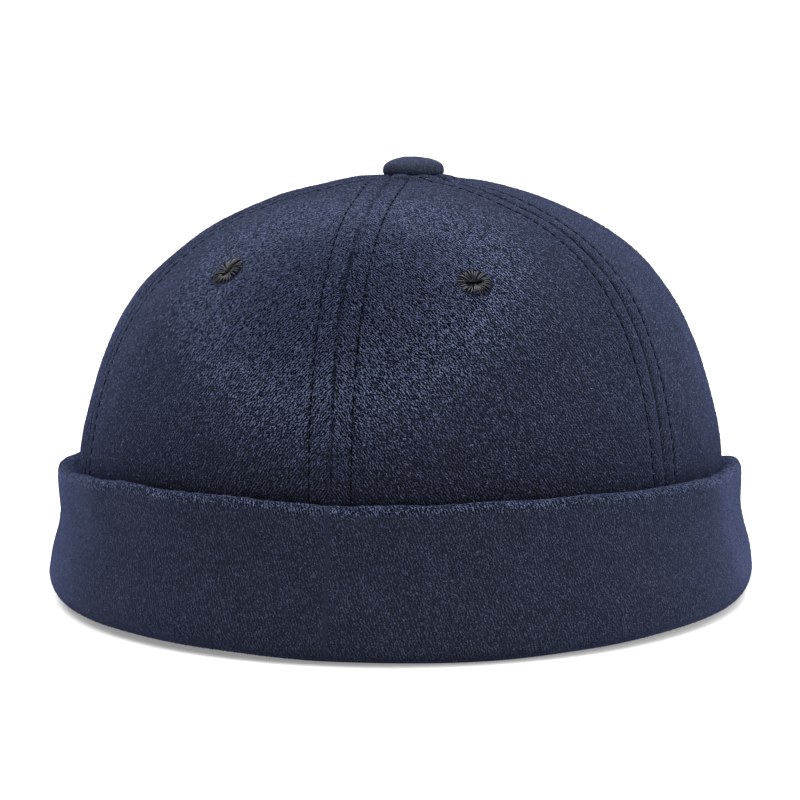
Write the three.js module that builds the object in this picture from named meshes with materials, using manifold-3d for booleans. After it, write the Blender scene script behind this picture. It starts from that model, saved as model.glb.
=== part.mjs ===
// A six-panel wool cap with a turned-up cuff, in millimetres. +Z is up, the cap stands on its
// cuff at z = 0, and the front seam faces -Y. Angles run round the cap from the front towards +X.
import * as THREE from 'three';
import { mergeVertices } from 'three/addons/utils/BufferGeometryUtils.js';
import Module from 'manifold-3d';

const wasm = await Module();
wasm.setup();

// Driving dimensions
const CLOTH = 1.8;            // thickness of the woollen cloth
const GAP = 0.3;              // clearance between neighbouring pieces
const HALF_WIDTH = 89.7;      // crown half width at its foot, outside
const OVAL = 1.12;            // length of the crown over its width
const HALF_LENGTH = HALF_WIDTH * OVAL;
const TURN_HEIGHT = 17.6;     // the wall is upright below this height
const APEX_HEIGHT = 115.8;    // where the six panels meet
const RISE_POWER = 2.8;       // how long the crown stays wide as it rises
const ROUND_POWER = 2.04;     // how round it closes at the top
const SLIMMING = 0.016;       // slight flattening of the crown half way up
const LEAN = { x: 4.05, y: -14, powerX: 2.2, powerY: 1.5 };   // the top of the crown leans forward
const JUNCTION = new THREE.Vector2(1.2, -16.4);               // where the seams meet, seen from above
const JUNCTION_BAND = { from: 0.975, to: 0.997 };             // rise over which the rings settle round it
const JUNCTION_HOLE = 3;      // radius left open round the shank of the button
const CROWN_FOOT = 3.8;       // height of the panels' lower edge, inside the cuff's bottom fold
const TUCK = { depth: 1, from: 24, to: 38 };                  // the cuff presses the crown in below its rim
const ALLOWANCE_START = 13;   // seam allowances lie open above this height
const SEAM_GROOVE = 0.8;
const STITCH_DIP = 0.25;
const STITCH_DISTANCE = 5.4;  // from the seam to its row of stitches

// Heights and rises of the rows of points up a panel
const WALL_HEIGHTS = [CROWN_FOOT, ALLOWANCE_START, 24, 31];
const DOME_DEGREES = [12, 22, 32, 42, 51, 60, 67, 73, 78, 82, 85.5];

// Columns of points beside a seam: distance from it, lift of the outside, cloth layers there
const SEAM_COLUMNS = [
  { distance: GAP / 2, lift: -SEAM_GROOVE, layers: 2 },
  { distance: 1.8, lift: 0, layers: 2 },
  { distance: STITCH_DISTANCE, lift: -STITCH_DIP, layers: 2 },
  { distance: 8.2, lift: 0, layers: 1 },
];
const MIDDLE_SHARES = [0.25, 0.5, 0.75];
const NARROW_PANEL = 2.5;     // those columns close up where a panel is under this many times their reach

// Where each seam starts at the foot of the crown, in degrees
const SEAM_FEET = [-0.6, 60.7, 120, 180, 240, 299.3];

// Air eyelets, one in each of the two front panels
const EYELETS = [
  { panel: 1, angle: 26.8, height: 93.3 },
  { panel: 6, angle: 324.8, height: 94.5 },
];
const EYELET = { flangeRadius: 4.8, backRadius: 4, barrelRadius: 2.2, holeRadius: 1.3 };
const EYELET_RING = { height: 1, edgeSlope: 0.7, edgeDrop: 0.3, shoulder: 1.8, lip: 0.4, backHeight: 0.7 };
const PUNCH_LENGTH = 8;
const FACET_SAG = 0.7;        // the flat facets lie up to this far inside the true round of the crown

// The cuff round the cap: height and flare of its rolled top edge, slight lift of its bottom fold
const RIM = [
  { angle: 0, height: 40.0, flare: 0, lift: 0.4 },
  { angle: 25, height: 40.4, flare: 0, lift: 0 },
  { angle: 42, height: 40.1, flare: 0, lift: 0.4 },
  { angle: 60, height: 39.0, flare: 0, lift: 0.8 },
  { angle: 88, height: 37.3, flare: 0, lift: 0.3 },
  { angle: 102, height: 35.4, flare: 0, lift: 0.2 },
  { angle: 117, height: 32.6, flare: 0, lift: 0 },
  { angle: 140, height: 35.0, flare: 0, lift: 0 },
  { angle: 180, height: 38.6, flare: 0, lift: 0 },
  { angle: 225, height: 38.0, flare: 0, lift: 0 },
  { angle: 245, height: 36.2, flare: 0, lift: 0 },
  { angle: 265, height: 35.3, flare: 0.2, lift: 0.1 },
  { angle: 280, height: 36.0, flare: 0.9, lift: 0.2 },
  { angle: 298, height: 37.6, flare: 1.1, lift: 0.6 },
  { angle: 310, height: 39.5, flare: 1.0, lift: 0.9 },
  { angle: 322, height: 40.6, flare: 0.8, lift: 1.2 },
  { angle: 340, height: 40.9, flare: 0, lift: 1.1 },
];
const RIM_HEIGHT = 40;        // height of the rim in the sections below
const CUFF_STEPS = 48;
const LIFT_FADE = 20;         // the lift of the bottom fold dies out at this height
const RIM_BAND = 4;           // this much of the cuff below the rim follows the rim's height fully
const FLARE_START = 20;       // the flare of the rim dies out at this height

// Outer face of the cuff above its bottom fold: offset from the crown's foot oval, and height
const CUFF_FACE = [
  { offset: 7.2, height: 13 },
  { offset: 5.6, height: 19 },
  { offset: 4.3, height: 27 },
  { offset: 4.5, height: 33 },
];
const CUFF_BULGE = { offset: 7.9, height: 7.5, strip: 2 };
const ROLL = { offset: 2.5, radius: 2, crease: 0.2 };
const TURN_IN = [
  { offset: 0.2, height: 31 },
  { offset: -0.5, height: 24 },
  { offset: -0.5, height: 5.6 },
];
const FACING = { offset: -3.65, height: 12, fold: 2.6 };
const ARC_STEPS = { bulge: 4, bulgeInside: 3, roll: 6, crease: 2, facing: 3 };

const BUTTON = { x: 5.6, y: -14.6, radius: 8.35, height: 5.1 };

// Profile of the button as shares of its radius and height, from its underside to its middle
const BUTTON_PROFILE = [
  { radius: 0, height: 0 },
  { radius: 0.86, height: 0 },
  { radius: 0.98, height: 0.14 },
  { radius: 1, height: 0.31 },
  { radius: 0.95, height: 0.58 },
  { radius: 0.83, height: 0.77 },
  { radius: 0.6, height: 0.915 },
  { radius: 0.3, height: 0.985 },
  { radius: 0, height: 1 },
];
const POST = { shankRadius: 1.6, discRadius: 7, discThickness: 1, clearance: 0.35, depth: 2.6 };
const POST_DROP = 2 * CLOTH + 3 * GAP;      // from the apex down through two layers to the back disc

const SIDES = { punch: 16, eyelet: 14, button: 24, socket: 12, post: 16 };
const SMALL_STEP = 1e-4;      // step between two points that give a slope
const WELD = 1e-4;            // points closer than this are one point

const CLOTH_LOOK = { color: new THREE.Color(0.035, 0.043, 0.085), roughness: 0.95, metalness: 0 };
const BUTTON_LOOK = { color: new THREE.Color(0.032, 0.038, 0.072), roughness: 0.85, metalness: 0 };
const THREAD_LOOK = { color: new THREE.Color(0.012, 0.012, 0.015), roughness: 0.6, metalness: 0 };
const METAL_LOOK = { color: new THREE.Color(0.45, 0.46, 0.48), roughness: 0.4, metalness: 1 };

function radians(degrees) {
  return THREE.MathUtils.degToRad(degrees);
}

function riseAt(height) {
  return (height - TURN_HEIGHT) / (APEX_HEIGHT - TURN_HEIGHT);
}

// Shape of the crown

function ringRadius(rise) {
  const up = THREE.MathUtils.clamp(rise, 0, 1);
  const slim = 1 - SLIMMING * Math.sin(Math.PI * up) ** 2;
  return HALF_WIDTH * slim * (1 - up ** RISE_POWER) ** (1 / ROUND_POWER);
}

function ringCentre(rise) {
  const up = THREE.MathUtils.clamp(rise, 0, 1);
  const leaning = new THREE.Vector2(LEAN.x * up ** LEAN.powerX, LEAN.y * up ** LEAN.powerY);
  const settled = THREE.MathUtils.smoothstep(up, JUNCTION_BAND.from, JUNCTION_BAND.to);
  return leaning.lerp(JUNCTION, settled);
}

function crownPoint(angle, rise) {
  const centre = ringCentre(rise);
  const radius = ringRadius(rise);
  const height = TURN_HEIGHT + (APEX_HEIGHT - TURN_HEIGHT) * rise;
  return new THREE.Vector3(
    centre.x + radius * Math.sin(angle),
    centre.y - radius * OVAL * Math.cos(angle),
    height,
  );
}

function crownNormal(angle, rise) {
  const low = Math.min(rise, 1 - 2 * SMALL_STEP);
  const round = crownPoint(angle + SMALL_STEP, low).sub(crownPoint(angle - SMALL_STEP, low));
  const up = crownPoint(angle, low + SMALL_STEP).sub(crownPoint(angle, low - SMALL_STEP));
  return round.cross(up).normalize();
}

function clothPoint(angle, rise, offset) {
  const point = crownPoint(angle, rise);
  const tuck = TUCK.depth * (1 - THREE.MathUtils.smoothstep(point.z, TUCK.from, TUCK.to));
  return point.addScaledVector(crownNormal(angle, rise), offset - tuck);
}

// Angle at which the straight seam from its foot to the junction crosses the ring at this rise
function seamAngle(footDegrees, rise) {
  const foot = crownPoint(radians(footDegrees), 0);
  const along = new THREE.Vector2(foot.x, foot.y).sub(JUNCTION).normalize();
  const centre = ringCentre(rise);
  const radius = ringRadius(rise);
  const start = JUNCTION.clone().sub(centre);
  const a = along.x ** 2 + (along.y / OVAL) ** 2;
  const b = 2 * (start.x * along.x + start.y * along.y / OVAL ** 2);
  const c = start.x ** 2 + (start.y / OVAL) ** 2 - radius ** 2;
  const reach = (-b + Math.sqrt(b * b - 4 * a * c)) / (2 * a);
  const hit = start.addScaledVector(along, reach);
  return Math.atan2(hit.x, -hit.y / OVAL);
}

// Distance round the crown for one radian of angle
function arcScale(angle, rise) {
  const before = crownPoint(angle - SMALL_STEP, rise);
  return crownPoint(angle + SMALL_STEP, rise).distanceTo(before) / (2 * SMALL_STEP);
}

// The columns across a panel at one rise, as angle, lift and layers of cloth
function panelColumns(index, rise) {
  const first = seamAngle(SEAM_FEET[index], rise);
  let last = seamAngle(SEAM_FEET[(index + 1) % SEAM_FEET.length], rise);
  while (last < first) {
    last += 2 * Math.PI;
  }
  const firstScale = arcScale(first, rise);
  const lastScale = arcScale(last, rise);
  const width = (last - first) * (firstScale + lastScale) / 2;
  const reach = SEAM_COLUMNS[SEAM_COLUMNS.length - 1].distance;
  const squeeze = Math.min(1, width / (NARROW_PANEL * reach));
  const distanceOf = (column) => Math.max(column.distance * squeeze, GAP / 2);
  const left = SEAM_COLUMNS.map((column) => ({
    angle: first + distanceOf(column) / firstScale,
    lift: column.lift * squeeze,
    layers: column.layers,
  }));
  const right = SEAM_COLUMNS.map((column) => ({
    angle: last - distanceOf(column) / lastScale,
    lift: column.lift * squeeze,
    layers: column.layers,
  })).reverse();
  const from = left[left.length - 1].angle;
  const to = right[0].angle;
  const middle = MIDDLE_SHARES.map((share) => ({
    angle: from + (to - from) * share,
    lift: 0,
    layers: 1,
  }));
  return [...left, ...middle, ...right];
}

// A closed sheet from an outer and an inner grid of points with the same rows and columns
function sheetGeometry(outer, inner) {
  const rows = outer.length;
  const columns = outer[0].length;
  const positions = [];
  for (const grid of [outer, inner]) {
    for (const row of grid) {
      for (const point of row) {
        positions.push(point.x, point.y, point.z);
      }
    }
  }
  const outerIndex = (row, column) => row * columns + column;
  const innerIndex = (row, column) => (rows + row) * columns + column;
  const triangles = [];
  const quad = (a, b, c, d) => triangles.push(a, b, c, a, c, d);
  for (let row = 0; row < rows - 1; row += 1) {
    for (let column = 0; column < columns - 1; column += 1) {
      quad(outerIndex(row, column), outerIndex(row, column + 1),
        outerIndex(row + 1, column + 1), outerIndex(row + 1, column));
      quad(innerIndex(row, column), innerIndex(row + 1, column),
        innerIndex(row + 1, column + 1), innerIndex(row, column + 1));
    }
    quad(outerIndex(row, 0), outerIndex(row + 1, 0), innerIndex(row + 1, 0), innerIndex(row, 0));
    quad(innerIndex(row, columns - 1), innerIndex(row + 1, columns - 1),
      outerIndex(row + 1, columns - 1), outerIndex(row, columns - 1));
  }
  for (let column = 0; column < columns - 1; column += 1) {
    quad(innerIndex(0, column), innerIndex(0, column + 1), outerIndex(0, column + 1), outerIndex(0, column));
    quad(outerIndex(rows - 1, column), outerIndex(rows - 1, column + 1),
      innerIndex(rows - 1, column + 1), innerIndex(rows - 1, column));
  }
  const geometry = new THREE.BufferGeometry();
  geometry.setAttribute('position', new THREE.Float32BufferAttribute(positions, 3));
  geometry.setIndex(triangles);
  return geometry;
}

// Joining and cutting

function toSolid(geometry) {
  const bare = geometry.clone();
  bare.deleteAttribute('normal');
  bare.deleteAttribute('uv');
  const merged = mergeVertices(bare, WELD);
  return new wasm.Manifold(new wasm.Mesh({
    numProp: 3,
    vertProperties: new Float32Array(merged.attributes.position.array),
    triVerts: new Uint32Array(merged.index.array),
  }));
}

function toGeometry(solid) {
  const mesh = solid.getMesh();
  const geometry = new THREE.BufferGeometry();
  geometry.setAttribute('position', new THREE.BufferAttribute(new Float32Array(mesh.vertProperties), 3));
  geometry.setIndex(new THREE.BufferAttribute(new Uint32Array(mesh.triVerts), 1));
  return geometry;
}

function addMesh(group, name, geometry, look) {
  geometry.computeVertexNormals();
  const mesh = new THREE.Mesh(geometry, new THREE.MeshStandardMaterial(look));
  mesh.name = name;
  group.add(mesh);
}

// Turns a geometry made round +Y into the frame of an eyelet: +Y becomes the cloth's normal
function eyeletFrame(eyelet) {
  const angle = radians(eyelet.angle);
  const rise = riseAt(eyelet.height);
  const normal = crownNormal(angle, rise);
  const origin = crownPoint(angle, rise);
  const turn = new THREE.Quaternion().setFromUnitVectors(new THREE.Vector3(0, 1, 0), normal);
  return new THREE.Matrix4().compose(origin, turn, new THREE.Vector3(1, 1, 1));
}

// The round hole in the cloth that an eyelet is worked in
function punchSolid(eyelet) {
  const radius = EYELET.barrelRadius + GAP;
  const punch = new THREE.CylinderGeometry(radius, radius, PUNCH_LENGTH, SIDES.punch);
  return toSolid(punch.applyMatrix4(eyeletFrame(eyelet)));
}

function panelGeometry(index) {
  const tipRise = (1 - (JUNCTION_HOLE / HALF_WIDTH) ** ROUND_POWER) ** (1 / RISE_POWER);
  const rises = [
    ...WALL_HEIGHTS.map(riseAt),
    ...DOME_DEGREES.map((degrees) => Math.sin(radians(degrees))),
    tipRise,
  ];
  const outer = [];
  const inner = [];
  for (const rise of rises) {
    const columns = panelColumns(index, rise);
    const openAllowance = rise > riseAt(ALLOWANCE_START);
    outer.push(columns.map((column) => clothPoint(column.angle, rise, column.lift)));
    inner.push(columns.map((column) => {
      const layers = openAllowance ? column.layers : 1;
      return clothPoint(column.angle, rise, -layers * CLOTH);
    }));
  }
  const sheet = toSolid(sheetGeometry(outer, inner));
  const eyelet = EYELETS.find((row) => row.panel === index + 1);
  return toGeometry(eyelet ? sheet.subtract(punchSolid(eyelet)) : sheet);
}

// An embroidered eyelet: a ring of thread on the outside, its barrel through the cloth, a ring inside
function eyeletGeometry(eyelet) {
  const front = GAP;
  const back = -CLOTH - FACET_SAG - GAP;
  const top = front + EYELET_RING.height;
  const bottom = back - EYELET_RING.backHeight;
  const profile = [
    [EYELET.holeRadius, bottom],
    [EYELET.backRadius, bottom],
    [EYELET.backRadius, back],
    [EYELET.barrelRadius, back],
    [EYELET.barrelRadius, front],
    [EYELET.flangeRadius, front],
    [EYELET.flangeRadius - EYELET_RING.edgeSlope, top - EYELET_RING.edgeDrop],
    [EYELET.flangeRadius - EYELET_RING.shoulder, top],
    [EYELET.holeRadius + EYELET_RING.lip, top - EYELET_RING.lip],
    [EYELET.holeRadius, bottom],
  ].map(([radius, height]) => new THREE.Vector2(radius, height));
  const ring = new THREE.LatheGeometry(profile, SIDES.eyelet);
  return toGeometry(toSolid(ring)).applyMatrix4(eyeletFrame(eyelet));
}

// Cuff

// Smooth periodic value of one column of the rim table
function rimValue(degrees, column) {
  const count = RIM.length;
  let index = count - 1;
  while (RIM[index].angle > degrees) {
    index -= 1;
  }
  const row = (offset) => RIM[(index + offset + count) % count][column];
  const start = RIM[index].angle;
  const end = index + 1 < count ? RIM[index + 1].angle : 360;
  const share = (degrees - start) / (end - start);
  return THREE.MathUtils.lerp(row(0), row(1), THREE.MathUtils.smoothstep(share, 0, 1));
}

function arcPoints(centre, radiusX, radiusY, fromDegrees, toDegrees, steps) {
  return Array.from({ length: steps + 1 }, (_, step) => {
    const angle = radians(THREE.MathUtils.lerp(fromDegrees, toDegrees, step / steps));
    return {
      offset: centre.offset + radiusX * Math.cos(angle),
      height: centre.height + radiusY * Math.sin(angle),
    };
  });
}

// One section of the folded band, anticlockwise: up the outer face, over the roll, down between
// the layers, back up and down inside the fold, and round the facing that covers the panels' edge
function cuffSection() {
  const rollCentre = { offset: ROLL.offset, height: RIM_HEIGHT - ROLL.radius };
  const bulgeCentre = { offset: CUFF_BULGE.strip, height: CUFF_BULGE.height };
  const bulgeX = CUFF_BULGE.offset - CUFF_BULGE.strip;
  const facingCentre = { offset: FACING.offset - CLOTH + FACING.fold, height: FACING.fold };
  const insideOf = (row) => ({ offset: row.offset - CLOTH, height: row.height });
  const outsideOf = (row) => ({ offset: row.offset + CLOTH, height: row.height });
  return [
    ...arcPoints(bulgeCentre, bulgeX, CUFF_BULGE.height, -90, 0, ARC_STEPS.bulge),
    ...CUFF_FACE,
    ...arcPoints(rollCentre, ROLL.radius, ROLL.radius, 0, 180, ARC_STEPS.roll),
    ...TURN_IN,
    ...TURN_IN.map(outsideOf).reverse(),
    ...arcPoints(rollCentre, ROLL.crease, ROLL.crease, 180, 0, ARC_STEPS.crease),
    ...CUFF_FACE.map(insideOf).reverse(),
    ...arcPoints(bulgeCentre, bulgeX - CLOTH, CUFF_BULGE.height - CLOTH, 0, -90, ARC_STEPS.bulgeInside),
    { offset: FACING.offset, height: CLOTH },
    { offset: FACING.offset, height: FACING.height },
    { offset: FACING.offset - CLOTH, height: FACING.height },
    ...arcPoints(facingCentre, FACING.fold, FACING.fold, 180, 270, ARC_STEPS.facing),
  ];
}

function cuffGeometry() {
  const section = cuffSection();
  const positions = [];
  for (let step = 0; step < CUFF_STEPS; step += 1) {
    const degrees = 360 * step / CUFF_STEPS;
    const angle = radians(degrees);
    const rim = rimValue(degrees, 'height');
    const flare = rimValue(degrees, 'flare');
    const lift = rimValue(degrees, 'lift');
    for (const { offset, height } of section) {
      const stretch = THREE.MathUtils.smoothstep(height, FACING.height, RIM_HEIGHT - RIM_BAND);
      const raised = lift * Math.max(0, 1 - height / LIFT_FADE);
      const outward = offset + flare * THREE.MathUtils.smoothstep(height, FLARE_START, RIM_HEIGHT - RIM_BAND);
      positions.push(
        (HALF_WIDTH + outward) * Math.sin(angle),
        -(HALF_LENGTH + outward) * Math.cos(angle),
        height + stretch * (rim - RIM_HEIGHT) + raised,
      );
    }
  }
  const count = section.length;
  const triangles = [];
  for (let step = 0; step < CUFF_STEPS; step += 1) {
    const here = step * count;
    const there = ((step + 1) % CUFF_STEPS) * count;
    for (let point = 0; point < count; point += 1) {
      const next = (point + 1) % count;
      triangles.push(here + point, there + point, there + next, here + point, there + next, here + next);
    }
  }
  const geometry = new THREE.BufferGeometry();
  geometry.setAttribute('position', new THREE.Float32BufferAttribute(positions, 3));
  geometry.setIndex(triangles);
  return geometry;
}

// Button and the hidden post that holds it

function latheUp(profile, segments, place) {
  const points = profile.map(([radius, height]) => new THREE.Vector2(radius, height));
  const geometry = toGeometry(toSolid(new THREE.LatheGeometry(points, segments)));
  geometry.rotateX(Math.PI / 2);
  return geometry.translate(place.x, place.y, place.z);
}

const buttonBase = APEX_HEIGHT + GAP;

function buttonGeometry() {
  const profile = BUTTON_PROFILE.map((row) => [BUTTON.radius * row.radius, BUTTON.height * row.height]);
  const dome = latheUp(profile, SIDES.button, new THREE.Vector3(BUTTON.x, BUTTON.y, buttonBase));
  const radiusOfSocket = POST.shankRadius + POST.clearance;
  const socket = new THREE.CylinderGeometry(radiusOfSocket, radiusOfSocket, 2 * POST.depth, SIDES.socket);
  socket.rotateX(Math.PI / 2);
  socket.translate(JUNCTION.x, JUNCTION.y, buttonBase);
  return toGeometry(toSolid(dome).subtract(toSolid(socket)));
}

function postGeometry() {
  const discBottom = APEX_HEIGHT - POST_DROP - POST.discThickness;
  const shankTop = buttonBase + POST.depth - POST.clearance;
  const profile = [
    [0, 0],
    [POST.discRadius, 0],
    [POST.discRadius, POST.discThickness],
    [POST.shankRadius, POST.discThickness],
    [POST.shankRadius, shankTop - discBottom],
    [0, shankTop - discBottom],
  ];
  return latheUp(profile, SIDES.post, new THREE.Vector3(JUNCTION.x, JUNCTION.y, discBottom));
}

const cap = new THREE.Group();
SEAM_FEET.forEach((_, index) => {
  addMesh(cap, `crown_panel_${index + 1}`, panelGeometry(index), CLOTH_LOOK);
});
addMesh(cap, 'cuff', cuffGeometry(), CLOTH_LOOK);
addMesh(cap, 'button', buttonGeometry(), BUTTON_LOOK);
addMesh(cap, 'button_post', postGeometry(), METAL_LOOK);
EYELETS.forEach((eyelet, index) => {
  addMesh(cap, `eyelet_${index + 1}`, eyeletGeometry(eyelet), THREAD_LOOK);
});

export default cap;
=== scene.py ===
import math

import bpy
import numpy as np
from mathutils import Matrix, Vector


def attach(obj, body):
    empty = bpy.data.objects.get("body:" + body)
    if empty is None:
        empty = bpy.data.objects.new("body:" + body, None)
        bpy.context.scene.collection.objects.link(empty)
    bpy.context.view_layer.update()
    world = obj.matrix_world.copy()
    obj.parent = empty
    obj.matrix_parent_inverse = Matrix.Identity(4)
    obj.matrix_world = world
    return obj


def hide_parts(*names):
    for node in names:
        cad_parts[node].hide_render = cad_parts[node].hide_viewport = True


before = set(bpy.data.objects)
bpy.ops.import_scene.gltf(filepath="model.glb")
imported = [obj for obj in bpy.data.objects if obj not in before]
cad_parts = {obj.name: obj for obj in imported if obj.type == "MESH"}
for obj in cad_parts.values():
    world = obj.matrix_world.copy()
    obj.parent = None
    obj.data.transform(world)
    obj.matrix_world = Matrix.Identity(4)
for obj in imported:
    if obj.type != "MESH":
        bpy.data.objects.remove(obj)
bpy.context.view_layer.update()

# Lengths below are in millimetres, and a mesh is scaled to metres when it is made.
# +Z is up, the front seam faces -Y, and angles run round the cap from the front towards +X.
MM = 0.001

# Crown, as the part is built
CLOTH = 1.8
GAP = 0.3
HALF_WIDTH = 89.7
OVAL = 1.12
HALF_LENGTH = HALF_WIDTH * OVAL
TURN_HEIGHT = 17.6
APEX_HEIGHT = 115.8
RISE_POWER = 2.8
ROUND_POWER = 2.04
SLIMMING = 0.016
LEAN_X = 4.05
LEAN_Y = -14.0
LEAN_POWER_X = 2.2
LEAN_POWER_Y = 1.5
JUNCTION = np.array([1.2, -16.4])
JUNCTION_BAND = (0.975, 0.997)
JUNCTION_HOLE = 3.0
SLOPE_STEP = 1e-4
CROWN_FOOT = 3.8
TUCK_DEPTH = 1.0
TUCK_BAND = (24.0, 38.0)
ALLOWANCE_START = 13.0
SEAM_FEET = (-0.6, 60.7, 120.0, 180.0, 240.0, 299.3)

# Seams: the groove, and the cloth doubled beside it, which swells up to the row of stitches
SEAM_DEPTH = 0.45
SEAM_WIDTH = 0.65
SEAM_SHARPNESS = 1.4
ALLOWANCE_WIDTH = 8.0
ALLOWANCE_PROUD = 0.12
ALLOWANCE_FADE = (ALLOWANCE_WIDTH - 1.2, ALLOWANCE_WIDTH + 1.4)
ALLOWANCE_STEP = (ALLOWANCE_WIDTH - 0.5, ALLOWANCE_WIDTH + 0.5)
PILLOW = 0.1
PILLOW_WIDTH = 1.6

# Rows of stitches, one on each side of a seam: how far a thread rises and sinks at its ends
STITCH_DISTANCE = 5.4
STITCH_DIP = 0.22
STITCH_DIP_WIDTH = 0.6
STITCH_PITCH = 3.1
STITCH_LENGTH = 2.5
STITCH_START = 0.5
STITCH_RISE = 0.42
STITCH_SINK = 0.36
STITCH_STEPS = 8
STITCH_SAMPLES = 1400
STITCH_ROOM = 0.5
STITCH_ARCH = 0.6
THREAD_RADIUS = 0.2
THREAD_THINNEST = 0.65

# Painted shade: how dark the cloth is painted in the groove of a seam, in the dip of a row and low on the
# crown above the cuff's fold, where shade falls, and the share of it that shows on the two sides of each
# seam, from the front seam on
SEAM_SHADE = 0.95
SEAM_SHADE_WIDTH = 0.6
ROW_SHADE = 0.85
ROW_SHADE_WIDTH = 0.38
FOLD_SHADE = 0.45
FOLD_SHADE_BAND = (34.0, 66.0)
SHADE_LEVEL = 0.75
SEAM_TONES = ((0.65, 1.0), (0.8, 0.8), (0.8, 0.8), (0.8, 0.8), (0.8, 0.8), (0.4, 0.4))

# Painted highlight on the front top of the crown, where light catches the nap: the direction it faces, and
# how it fades in around that
HIGHLIGHT_TOWARDS = (-0.04, -0.73, 0.68)
HIGHLIGHT_BAND = (0.70, 1.0)
HIGHLIGHT_CURVE = 2.4

# Unevenness, as soft waves: height, wavelength and seed of each
CROWN_WAVES = ((0.22, 38.0, 11), (0.1, 15.0, 12), (0.03, 4.5, 13))
CROWN_PROUD = 0.1
SHADE_WAVES = ((0.35, 5.5, 14),)
PUFF_WAVES = ((0.07, 6.0, 5),)
CUFF_WAVES = ((0.3, 46.0, 21), (0.12, 17.0, 22), (0.02, 5.0, 23))
RIM_WAVES = ((0.12, 19.0, 24), (0.09, 3.2, 25))
BUTTON_WAVES = ((0.10, 9.0, 31), (0.05, 3.0, 32))

# Small puffs of cloth gathered round the button
PUFF_HEIGHT = 1.7
PUFF_RADIUS = 10.0
PUFF_WIDTH = 2.6
PUFF_TOWARDS = (0.45, -0.89)
PUFF_BAND = (-0.3, 0.7)
PUFF_LEVEL = 0.8

# Grid of a panel: distances of the columns from a seam, which the first crosses slightly so that the
# sewn seam lets no light through, the columns between them, and the rows up the panel
EDGE_COLUMNS = np.array(
    [-0.06, 0.3, 0.65, 1.05, 1.6, 2.3, 3.1, 3.9, 4.5, 4.9, 5.2, 5.45, 5.75, 6.15, 6.7, 7.4, 8.1, 9.0]
)
MIDDLE_COLUMNS = 52
PANEL_ROWS = 128
NARROW_PANEL = 2.4
WALL_SAMPLES = 40
DOME_SAMPLES = 600

# Eyelets, as panel, angle and height on the crown
EYELETS = ((1, 26.8, 93.3), (6, 324.8, 94.5))
EYELET_HOLE = 2.6
EYELET_THREADS = 30
EYELET_THREAD_RADIUS = 0.2
EYELET_THREAD_END = 0.6
EYELET_SIZE = 4.6
# Painted shade on the cloth round each eyelet, where its threads shade it
EYELET_SHADE_BAND = (EYELET_SIZE - 0.6, EYELET_SIZE + 0.5)
EYELET_NAP_EDGE = EYELET_SIZE + 0.6
CUTTER_REACH = (-7.0, -3.0, 3.0)
CUTTER_SIDES = 24

# The slit in each eyelet, as half its length, half its width and its tilt, and each eyelet's stretch
# sideways and upwards
EYELET_SLITS = ((2.4, 0.6, 3.0), (2.0, 0.7, 55.0))
EYELET_STRETCH = ((1.0, 0.88), (0.88, 1.0))

# Path of one embroidery thread, as distance from the middle and height off the cloth: from its outer end
# over the ring, through the hole and out under the cloth. In the hole the distance is from the slit's edge.
EYELET_PATH = (
    (EYELET_SIZE, -0.45),
    (EYELET_SIZE - 0.2, -0.05),
    (EYELET_SIZE - 0.8, 0.17),
    (EYELET_SIZE - 1.7, 0.2),
    (EYELET_SIZE - 2.3, 0.1),
    (0.4, -0.2),
    (0.12, -0.9),
    (0.2, -1.7),
    (2.0, -2.35),
    (3.3, -2.45),
    (3.9, -2.0),
)
EYELET_PATH_IN_HOLE = slice(5, 8)
EYELET_TWIST = 0.12
EYELET_SEED = 40
EYELET_SPIN_JITTER = 0.42
EYELET_REACH_JITTER = 0.35
EYELET_HEIGHT_JITTER = (-0.24, 0.2)

# Cuff, round the cap: angle, height and flare of its rolled top edge, and lift of its bottom fold
RIM = (
    (0, 40.0, 0.0, 0.4),
    (25, 40.4, 0.0, 0.0),
    (42, 40.1, 0.0, 0.4),
    (60, 39.0, 0.0, 0.8),
    (88, 37.3, 0.0, 0.3),
    (102, 35.4, 0.0, 0.2),
    (117, 32.6, 0.0, 0.0),
    (140, 35.0, 0.0, 0.0),
    (180, 38.6, 0.0, 0.0),
    (225, 38.0, 0.0, 0.0),
    (245, 36.2, 0.0, 0.0),
    (265, 35.3, 0.2, 0.1),
    (280, 36.0, 0.9, 0.2),
    (298, 37.6, 1.1, 0.6),
    (310, 39.5, 1.0, 0.9),
    (322, 40.6, 0.8, 1.2),
    (340, 40.9, 0.0, 1.1),
)
RIM_HEIGHT = 40.0
RIM_BAND = 4.0
RIM_SOFT = 9.0
LIFT_FADE = 20.0
FLARE_START = 20.0
CUFF_FREE_BAND = (3.0, 12.0)
# Painted highlight along the top of the roll, lit from above, and painted shade under the bottom fold
RIM_HIGHLIGHT = 0.42
RIM_HIGHLIGHT_BAND = (RIM_HEIGHT - 2.9, RIM_HEIGHT - 0.5)
UNDER_SHADE = 0.5
UNDER_SHADE_HEIGHT = 4.5
CUFF_STEPS = 440

# Section of the cuff, as distance outside the crown's foot and height: its outer face above the bottom
# fold, the roll at the top, the turned-in end and the facing inside the crown
CUFF_SPACING = 0.85
CUFF_FACE = ((7.2, 13.0), (5.6, 19.0), (4.3, 27.0), (4.5, 33.0))
CUFF_BULGE = (7.9, 7.5)
CUFF_STRIP = 2.0
ROLL = (2.5, 2.0)
ROLL_CREASE = 0.2
TURN_IN = ((0.2, 31.0), (-0.5, 24.0), (-0.5, 5.6))
FACING_OFFSET = -3.65
FACING_HEIGHT = 12.0
FACING_EDGE = 0.5
FACING_FOLD = 2.6
CORNER_CUT = 0.25
FOLD_STEPS = 12
ROLL_STEPS = 14
CREASE_STEPS = 4
HIDDEN_STEPS = 6

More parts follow.
